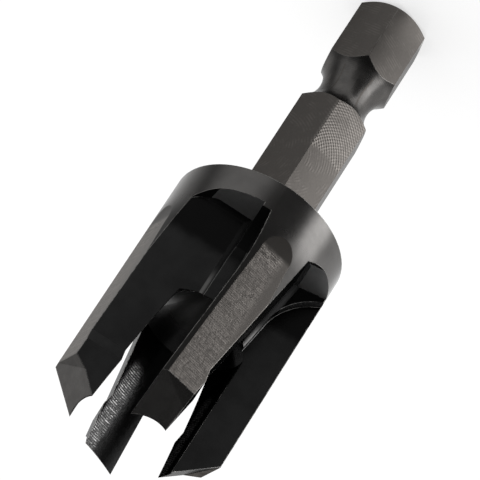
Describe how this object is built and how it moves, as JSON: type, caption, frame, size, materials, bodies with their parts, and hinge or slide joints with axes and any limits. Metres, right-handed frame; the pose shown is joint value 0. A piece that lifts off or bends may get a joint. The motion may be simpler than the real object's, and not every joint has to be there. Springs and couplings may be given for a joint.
{
  "type": "plug cutter",
  "caption": "Drill-driven plug cutter: milled, relieved fingers hang from a collar round a blind bore and free a round wooden plug; a grooved hex shank fits a quick-change chuck.",
  "frame": {"origin": "in the middle of the shank's end face, on which the tool stands", "axes": "+Z along the tool's axis from the shank's end to the finger tips; the gaps between the fingers face +X, +Y, -X and -Y"},
  "size_m": [0.0158, 0.0158, 0.0519],
  "materials": {
    "steel": "dark blackened steel, smooth and slightly glossy in the slots, with paler ground flats and a satin shank"
  },
  "bodies": {
    "root": {"plug_cutter": "steel"}
  },
  "joints": []
}
